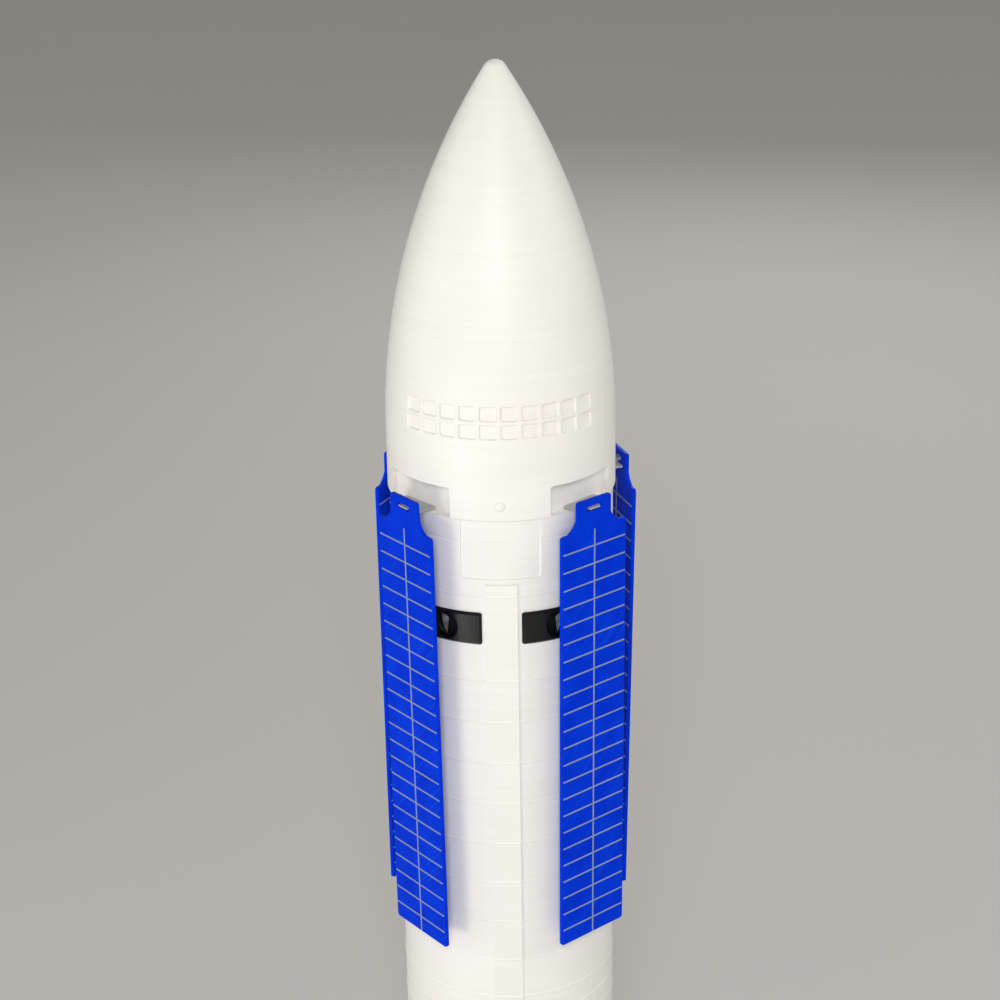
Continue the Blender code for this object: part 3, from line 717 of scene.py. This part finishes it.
def flare():
    """Points from the shoulder up to the neck, between a hollow arc and a straight cut."""
    steps = 8
    points = []
    hollow = arc((panel_neck + panel_flare, panel_shoulder + panel_flare), panel_flare, 270, 180, steps)
    for k, (x, z) in enumerate(hollow):
        straight_x = panel_neck + panel_flare * (1 - k / steps)
        straight_z = panel_shoulder + panel_flare * k / steps
        points.append((x + (straight_x - x) * panel_flatness, z + (straight_z - z) * panel_flatness))
    return points


def rounded_corner(x, z, radius, start):
    """Arc in the corner of an outline at (x, z), from one angle on for a quarter turn."""
    out = 1 if start == 0 else -1
    return arc((x - radius, z - out * radius), radius, start, start + 90, 6)


def plate_shape():
    """One panel, hanging upright from the origin."""
    right = rounded_corner(panel_half_width, panel_bottom, panel_corner, -90)
    right += rounded_corner(panel_half_width, panel_shoulder, panel_corner, 0)
    right += flare()
    right += rounded_corner(panel_neck, panel_top, panel_corner, 0)
    front = -panel_thickness / 2
    plate = drawn("panel", [(x, front, z) for x, z in mirrored(right)], (0, panel_thickness, 0))
    slot = rounded_corner(slot_half_length, -slot_half_height, slot_corner, -90)
    slot += rounded_corner(slot_half_length, slot_half_height, slot_corner, 0)
    through = 4 * panel_thickness
    cut(plate, drawn("slot", [(x, -through / 2, z) for x, z in mirrored(slot)], (0, through, 0)))
    round_edges(plate, panel_edge, segments=3, degrees=50)
    return plate


def line_bar(width, height, z, proud):
    """A raised line on the front face, with round ends and a rounded top."""
    middle = (0, line_sunk - panel_thickness / 2, z)
    bar = face_in_front(width, height, line_corner, middle, outwards=True)
    extrude((0, line_round - line_sunk - proud, 0))
    round_in(line_round, steps=3, flat_first=False)
    bpy.ops.object.mode_set(mode="OBJECT")
    return bar


def copied(obj, name):
    """A copy with its own mesh."""
    made = obj.copy()
    made.data = obj.data.copy()
    made.name = name
    bpy.context.collection.objects.link(made)
    return made


def grid_shape():
    """The lines on both faces of one panel."""
    rows = line_bar(2 * line_half_length, line_width, line_top, line_proud)
    repeated(rows, line_count, (0, 0, -line_pitch))
    low = panel_bottom + panel_edge
    high = line_top + upright_rise
    upright = line_bar(line_width, high - low, (high + low) / 2, line_proud - upright_lower)
    front = joined([rows, upright], "grid")
    back = copied(front, "grid_back")
    turn(back, math.pi)
    return joined([front, back], "grid")


def blue_finish(name, piece):
    """Deep blue plastic, its top layer laid in diagonal lines, with faint scratches and specks."""
    finish, shader, place = new_finish(name, 0.3)
    shader.inputs["Specular IOR Level"].default_value = 0.02
    place = measured_on(piece, place)
    x, _, z = coordinates(place)
    lines = (x - z).ripple(print_line)
    turned = place.node("ShaderNodeMapping", None, {"Vector": place, "Rotation": (0, math.radians(45), 0)})
    streaks = noise(turned, 900, 2, (0.05, 1, 1))
    clouds = noise(place, 90, 3)
    specks = noise(place, 1600, 1).limited(0.7, 0.76)
    scratches = streaks.limited(0.62, 0.7)
    shade = 0.75 * clouds + 0.25 * lines
    colour = blend_colours(shade.limited(0.25, 0.75), (0.0, 0.026, 0.58, 1), (0.0, 0.042, 0.72, 1))
    colour = blend_colours(0.22 * scratches + 0.25 * specks, colour, (0.01, 0.13, 0.9, 1))
    plug(shader, "Base Color", colour)
    plug(shader, "Roughness", 0.26 + 0.14 * clouds + 0.1 * scratches)
    bumped(shader, 0.6 * lines + 0.4 * streaks, 0.03 * MM, 0.4)
    return finish


plate_model = plate_shape()
grid_model = grid_shape()
for place, hinge in hinges.items():
    lean = Matrix.Rotation(math.radians(panel_lean[place]), 4, "X")
    hang = hinge @ lean @ Matrix.Rotation(math.radians(panel_swing[place]), 4, "Y")
    plate = copied(plate_model, "plate_" + place)
    plate.matrix_world = hang
    blue = blue_finish("blue_" + place, hang)
    dress(settle(plate), blue, "solar_" + place, ["panel_" + place])
    grid = copied(grid_model, "grid_" + place)
    grid.matrix_world = hang
    lines = silver_finish("lines_" + place, (0.23, 0.3, 0.46), 0.2, hang)
    dress(settle(grid), lines, "solar_" + place)
bpy.data.objects.remove(plate_model)
bpy.data.objects.remove(grid_model)

# Thruster pods
# Four curved plates printed in black, which lie against the body below the panels. Each has two
# round cups that reach into the body, and in each stands a silver bell that points sideways.
pod_half_angle = math.radians(35)
pod_outer = 46.5 * MM
pod_thickness = 1.2 * MM
pod_edge = 0.9 * MM
pod_corner = 1.0 * MM
recess_rim = 0.35 * MM
recess_flare = 0.6 * MM
bell_cant = math.radians(52)
bell_rise = math.radians(-6)
bell_radius = 2.9 * MM
bell_wall = 0.45 * MM
bell_depth = 2.6 * MM
bell_mouth = (1.7, 1.5, 2.3)
bell_foot = (1.7, 1.2, -0.1)
bell_keel = (0.3, -4.0, 1.8)
bell_foot_radius = 1.2 * MM
bell_keel_radius = 0.3 * MM
bell_floor_share = 0.35
bell_waist_share = 0.75


def black_finish():
    """Black plastic with fine upright layers, a few grey scuffs and an uneven gloss."""
    finish, shader, place = new_finish("black_print", 0.3)
    shader.inputs["Specular IOR Level"].default_value = 0.3
    layers = coordinates(place)[2].ripple(print_layer)
    clouds = noise(place, 120, 3)
    scuffs = noise(place, 500, 3, (1, 1, 0.3)).limited(0.58, 0.75)
    mask = 0.6 * clouds + 0.4 * scuffs
    plug(shader, "Base Color", blend_colours(mask, (0.003, 0.003, 0.003, 1), (0.014, 0.013, 0.0105, 1)))
    plug(shader, "Roughness", 0.26 + 0.16 * clouds + 0.1 * scuffs)
    bumped(shader, 0.6 * layers + 0.4 * clouds, 0.03 * MM, 0.35)
    return finish


def pod_plate():
    """One pod's plate at the front, with its cups."""
    middle = (0, pod_thickness, pod_middle)
    width = 2 * pod_half_angle * pod_outer
    plate = face_in_front(width, pod_top - pod_bottom, pod_corner, middle, outwards=True)
    extrude((0, pod_edge - pod_thickness, 0))
    round_in(pod_edge, steps=1, flat_first=False)
    bpy.ops.object.mode_set(mode="OBJECT")
    bend_round(plate, pod_outer)
    reach = recess_radius + cup_wall
    depth = pod_outer - pod_thickness / 2 - recess_floor + cup_wall
    for offset in thruster_offsets:
        cup = spun("cup", [(0, 0), (reach, 0), (reach, depth), (0, depth)], steps=64)
        cup.matrix_world = aimed(offset, recess_floor - cup_wall, pod_middle)
        cut(plate, settle(cup), "UNION")
    rim = pod_outer - recess_floor
    profile = [(0, 0)] + arc((recess_radius - recess_rim, recess_rim), recess_rim, -90, 0, 4)
    profile += [(recess_radius, rim - recess_flare), (recess_radius + recess_rim, rim)]
    profile += [(recess_radius + recess_rim, rim + MM), (0, rim + MM)]
    for offset in thruster_offsets:
        recess = spun("recess", profile, steps=64)
        recess.matrix_world = aimed(offset, recess_floor, pod_middle)
        cut(plate, settle(recess))
    return plate


def disc(radius, place, aim):
    """A flat round face at a place, which faces along a direction."""
    bpy.ops.object.select_all(action="DESELECT")
    facing = Vector(aim).to_track_quat("Z", "Y").to_euler()
    bpy.ops.mesh.primitive_circle_add(vertices=48, radius=radius, fill_type="NGON",
                                      location=place, rotation=facing)
    return settle(bpy.context.object)


def pointing(place, direction):
    """Matrix of a piece at a place, whose +Z points along a direction."""
    return Matrix.Translation(place) @ direction.to_track_quat("Z", "Y").to_matrix().to_4x4()


def on_side(place, side):
    """A place in the cup, given in millimetres, for the bell that opens to that side."""
    return Vector((side * place[0], place[1], place[2])) * MM


def bell(side):
    """Bell that opens sideways, its foot on the cup's floor and its keel on the cup's wall."""
    facing = Vector((side * math.sin(bell_cant) * math.cos(bell_rise), math.sin(bell_rise),
                     math.cos(bell_cant) * math.cos(bell_rise)))
    mouth = on_side(bell_mouth, side)
    outside = disc(bell_radius, mouth, facing)
    foot = disc(bell_foot_radius, on_side(bell_foot, side), (0, 0, 1))
    keel = disc(bell_keel_radius, on_side(bell_keel, side), facing)
    body = joined([outside, foot, keel], "bell")
    bpy.ops.object.mode_set(mode="EDIT")
    bpy.ops.mesh.select_all(action="SELECT")
    bpy.ops.mesh.delete(type="ONLY_FACE")
    bpy.ops.mesh.select_all(action="SELECT")
    bpy.ops.mesh.convex_hull()
    finish_mesh("bell")
    inner = bell_radius - bell_wall
    profile = [(0, -bell_depth), (bell_floor_share * inner, -bell_depth)]
    profile += [(bell_waist_share * inner, -bell_depth / 2), (inner, 0), (inner, MM), (0, MM)]
    hollow = spun("hollow", profile, steps=48)
    hollow.matrix_world = pointing(mouth, facing)
    cut(body, settle(hollow))
    return body


black = black_finish()
bell_silver = silver_finish("bell_silver", (0.3, 0.3, 0.32), 0.3)
pod_model = pod_plate()
bells = []
for offset, side in zip(thruster_offsets, (1, -1)):
    piece = bell(side)
    piece.matrix_world = aimed(offset, recess_floor, pod_middle)
    bells.append(settle(piece))
bells_model = joined(bells, "bells")
for place, azimuth in quarters.items():
    pod = turn(copied(pod_model, "thruster_pod_" + place), azimuth)
    dress(pod, black, replaced=["pod_" + place])
    pair = turn(copied(bells_model, "thrusters_" + place), azimuth)
    dress(pair, bell_silver, degrees=40)
bpy.data.objects.remove(pod_model)
bpy.data.objects.remove(bells_model)

# Skirt
# A white tube under the barrels, printed upright with the same hoops. It is open below, carries
# the legs on its outside, and the engines hang inside it.
skirt_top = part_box("skirt")[1].z
skirt_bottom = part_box("skirt")[0].z
skirt_wall = 2.0 * MM
skirt_edge = 0.6 * MM

skirt_inside = body_radius - skirt_wall
skirt_outline = arc((skirt_inside + skirt_edge, skirt_bottom + skirt_edge), skirt_edge, 180, 270, 4)
skirt_outline += arc((body_radius - skirt_edge, skirt_bottom + skirt_edge), skirt_edge, -90, 0, 4)
skirt_outline += hooped_wall(body_radius, skirt_bottom + skirt_edge, skirt_top - seam_chamfer)[1:]
skirt_outline += [(body_radius - seam_chamfer, skirt_top), (skirt_inside, skirt_top)]
skirt = spun("engine_skirt", skirt_outline, closed=True)
dress(skirt, white, replaced=["skirt"])

# Engines
# A silver disc closes the body above the open skirt. Three small bells stand close together in its
# middle and three large ones around them, each turned in one piece with a collar and raised rings.
plate_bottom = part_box("engine_plate")[0].z
plate_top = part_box("engine_plate")[1].z
plate_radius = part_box("engine_plate")[1].x
groove = 0.5 * MM
groove_radii = (18 * MM, 39.5 * MM)
engine_wall = 0.9 * MM
engine_neck_share = 0.42
engine_floor_share = 0.2
engine_curve = 0.9
engine_steps = 24
engine_collar = 1.0 * MM
collar_slope = 0.3 * MM
collar_foot = -1.3 * MM
wall_start = -1.6 * MM
ring_steps = (8, 13, 18)
ring_proud = 0.35 * MM
engine_silver = silver_finish("engine_silver", silver_colour, 0.4)


def grooved_plate():
    """Disc with its lower edge bevelled and two round grooves in its underside."""
    points = [(0, plate_bottom)]
    for radius in groove_radii:
        points += [(radius - groove, plate_bottom), (radius - groove / 2, plate_bottom + groove),
                   (radius + groove / 2, plate_bottom + groove), (radius + groove, plate_bottom)]
    edge = plate_radius - groove
    return points + [(edge, plate_bottom), (plate_radius, plate_bottom + groove), (plate_radius, plate_top),
                     (0, plate_top)]


def engine_profile(radius, length):
    """Collar, curved outside with raised rings, round lip and the hollow inside, from the top."""
    neck = radius * engine_neck_share
    collar = neck + engine_collar
    points = [(0, 0), (collar, 0), (collar, -engine_collar), (neck + collar_slope, collar_foot)]
    wall = []
    for k in range(engine_steps + 1):
        share = k / engine_steps
        wall.append((neck + (radius - neck) * math.sin(share * math.pi / 2) ** engine_curve, -length * share))
    for k, (reach, height) in enumerate(wall):
        if height < wall_start:
            ring = ring_proud if k in ring_steps else 0.0
            points.append((min(reach + ring, radius), height))
    lip = engine_wall / 2
    points += arc((radius - lip, -length), lip, 0, -180, 8)[1:-1]
    floor = -length * engine_floor_share
    for reach, height in reversed(wall):
        if height < floor:
            points.append((reach - engine_wall, height))
    return points + [(0, points[-1][1])]


engine_plate = spun("engine_disc", grooved_plate())
dress(engine_plate, engine_silver, replaced=["engine_plate"])
for kind in ("inner", "outer"):
    for number in (1, 2, 3):
        node = f"engine_{kind}_{number}"
        low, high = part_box(node)
        radius = (high.x - low.x) / 2
        engine = spun(f"engine_bell_{kind}_{number}", engine_profile(radius, high.z - low.z), steps=72)
        engine.location = ((low.x + high.x) / 2, (low.y + high.y) / 2, high.z)
        dress(settle(engine), engine_silver, replaced=[node])

# Landing legs
# Each leg is printed in white: a fairing on the skirt, a strut with a thinner rod in its end, and
# two braces. It ends in an ankle on a round dished foot. The legs are fixed.
ankle_radius = 2.6 * MM
foot_distance = (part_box("foot_front_right")[0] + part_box("foot_front_right")[1]).xy.length / 2
foot_radius = 9.5 * MM
foot_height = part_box("foot_front_right")[1].z
foot_thickness = 2.6 * MM
foot_round = 0.8 * MM
foot_rim = 0.5 * MM
socket_chamfer = 0.3 * MM
fairing_bottom = 27.0 * MM
fairing_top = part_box("leg_front_right")[1].z
fairing_half_width = 8.5 * MM
fairing_back = -body_radius + 4 * MM
fairing_edge = 1.9 * MM
fairing_narrows_at = 40 * MM
fairing_taper = 0.55
fairing_taper_curve = 1.5
fairing_sunk = 0.2 * MM
knee = Vector((0, -48.2, 30.0)) * MM
ankle = Vector((0, -foot_distance, 8.9 * MM))
collar_at = knee.lerp(ankle, 0.62)
strut_radius = 3.2 * MM
strut_collar = 3.6 * MM
slider_radius = 2.1 * MM
slider_collar = 2.3 * MM
brace_radius = 1.3 * MM
brace_end = 1.1 * MM


def rod(name, start, end, profile):
    """A turned piece between two points; its (radius, share of the length) profile starts at the top."""
    points = [(radius, share * (end - start).length) for radius, share in profile]
    made = spun(name, [(0, points[0][1])] + points + [(0, points[-1][1])], steps=36)
    made.matrix_world = pointing(start, end - start)
    return settle(made)


def fairing():
    """Blister that thickens downwards: its side view, narrowed at the top and rounded along its edges."""
    side = ((fairing_back, fairing_top), (-46.2 * MM, fairing_top), (-48.6 * MM, 60 * MM),
            (-50.2 * MM, 50 * MM), (-51.0 * MM, 40 * MM), (-51.0 * MM, 33 * MM),
            (-49.5 * MM, fairing_bottom), (fairing_back, fairing_bottom))
    made = drawn("fairing", [(-fairing_half_width, y, z) for y, z in side], (2 * fairing_half_width, 0, 0))
    for vertex in made.data.vertices:
        rise = max(0.0, vertex.co.z - fairing_narrows_at) / (fairing_top - fairing_narrows_at)
        vertex.co.x *= 1 - fairing_taper * rise ** fairing_taper_curve
    round_edges(made, fairing_edge, segments=5, degrees=50)
    reach = body_radius - fairing_sunk
    high = 80 * MM
    cut(made, spun("skirt_space", [(0, 0), (reach, 0), (reach, high), (0, high)]))
    return made


def leg_model():
    """One leg in front. Its rods end a little beside each other's axes, so that they join cleanly."""
    strut = [(strut_radius, 0), (strut_radius, 0.78), (strut_collar, 0.8), (strut_collar, 0.97),
             (strut_radius, 1.0)]
    slider = [(slider_radius, 0), (slider_radius, 0.9), (slider_collar, 0.93), (slider_collar, 1.0)]
    ball = [(1.4 * MM, 0), (2.3 * MM, 0.12), (ankle_radius, 0.35)]
    ball += [(ankle_radius, 0.65), (2.3 * MM, 0.88), (1.4 * MM, 1)]
    brace = [(brace_end, 0), (brace_radius, 0.04), (brace_radius, 0.96), (brace_end, 1)]
    up = Vector((0, 0, 2.1 * MM))
    slider_end = ankle + Vector((0.05, 0.45, 0.5)) * MM
    pieces = [fairing(), rod("strut", knee, collar_at, strut)]
    pieces.append(rod("slider", knee.lerp(ankle, 0.5), slider_end, slider))
    pieces.append(rod("ankle", ankle - up, ankle + up, ball))
    for sign in (-1, 1):
        hip = Vector((sign * 7.0, -47.4, 28.2)) * MM
        brace_foot = collar_at + Vector((sign * 0.7, 0, -1.5)) * MM
        pieces.append(rod("brace", hip, brace_foot, brace))
    for piece in pieces[1:]:
        cut(pieces[0], piece, "UNION")
    return pieces[0]


def foot_model():
    """Dished pad: flat underside, rounded rim, hollow top and the socket that the ankle stands on."""
    points = [(0, 0), (foot_radius - 1.6 * MM, 0)]
    points += arc((foot_radius - foot_round, 1.4 * MM), foot_round, -60, 0, 4)
    points += arc((foot_radius - foot_rim, foot_thickness - foot_rim), foot_rim, 0, 90, 4)
    for inwards, down in ((1.1, 0), (1.8, 0.7), (2.6, 0.9)):
        points.append((foot_radius - inwards * MM, foot_thickness - down * MM))
    points += [(5.0 * MM, foot_thickness - 0.7 * MM), (ankle_radius + 1.2 * MM, foot_thickness - 0.1 * MM)]
    for outwards, up in ((0.3, 1.0), (0, 2.2)):
        points.append((ankle_radius + outwards * MM, foot_thickness + up * MM))
    points += [(ankle_radius, foot_height - socket_chamfer), (ankle_radius - socket_chamfer, foot_height),
               (0, foot_height)]
    made = spun("foot", points, steps=96)
    made.location.y = -foot_distance
    return settle(made)


leg = leg_model()
foot = foot_model()
for place, azimuth in quarters.items():
    dress(turn(copied(leg, "landing_leg_" + place), azimuth), white, replaced=["leg_" + place])
    dress(turn(copied(foot, "foot_pad_" + place), azimuth), white, replaced=["foot_" + place])
bpy.data.objects.remove(leg)
bpy.data.objects.remove(foot)

# Floor and light
# A plain pale floor, a soft light behind and above the camera, weaker ones on each side, behind
# and lower in front, and a small one low on the left that shows in the pods' gloss.
floor_size = 24.0


def floor_finish(name, colour):
    """Dull paint with a faint unevenness."""
    finish, shader, place = new_finish(name, 0.7)
    tone = noise(place, 3, 3)
    plug(shader, "Base Color", blend_colours(tone, shaded(colour, 0.97), shaded(colour, 1)))
    return finish


bpy.ops.mesh.primitive_plane_add(size=floor_size)
floor = bpy.context.object
floor.name = "floor"
floor.data.materials.append(floor_finish("pale_floor", (0.6, 0.59, 0.57)))


def soft_light(name, size, watts, place, aim):
    """A square soft light at a place, turned to what it aims at."""
    bpy.ops.object.light_add(type="AREA", location=place)
    light = bpy.context.object
    light.name = name
    light.data.shape = "SQUARE"
    light.data.size = size
    light.data.energy = watts
    light.rotation_euler = (Vector(aim) - Vector(place)).to_track_quat("-Z", "Y").to_euler()


soft_light("front_light", 0.45, 11.8, (-0.02, -1.6, 1.2), (0, 0, 0.35))
soft_light("fill_light", 0.4, 3.6, (0, -1.5, 0.45), (0, 0, 0.33))
soft_light("left_light", 1.0, 5.0, (-1.7, -0.1, 0.7), (0, 0, 0.35))
soft_light("right_light", 1.0, 8.5, (1.6, -0.1, 1.2), (0, 0, 0.35))
soft_light("low_light", 0.28, 2.0, (-0.55, -0.7, 0.1), (0, 0, 0.9))
soft_light("back_light", 0.8, 5.0, (0.3, 1.7, 1.0), (0, 0, 0.3))

world = bpy.data.worlds.new("room")
bpy.context.scene.world = world
world.use_nodes = True
background = world.node_tree.nodes["Background"]
background.inputs["Color"].default_value = (1.0, 0.965, 0.91, 1)
background.inputs["Strength"].default_value = 0.36
bpy.context.scene.view_settings.view_transform = "Standard"
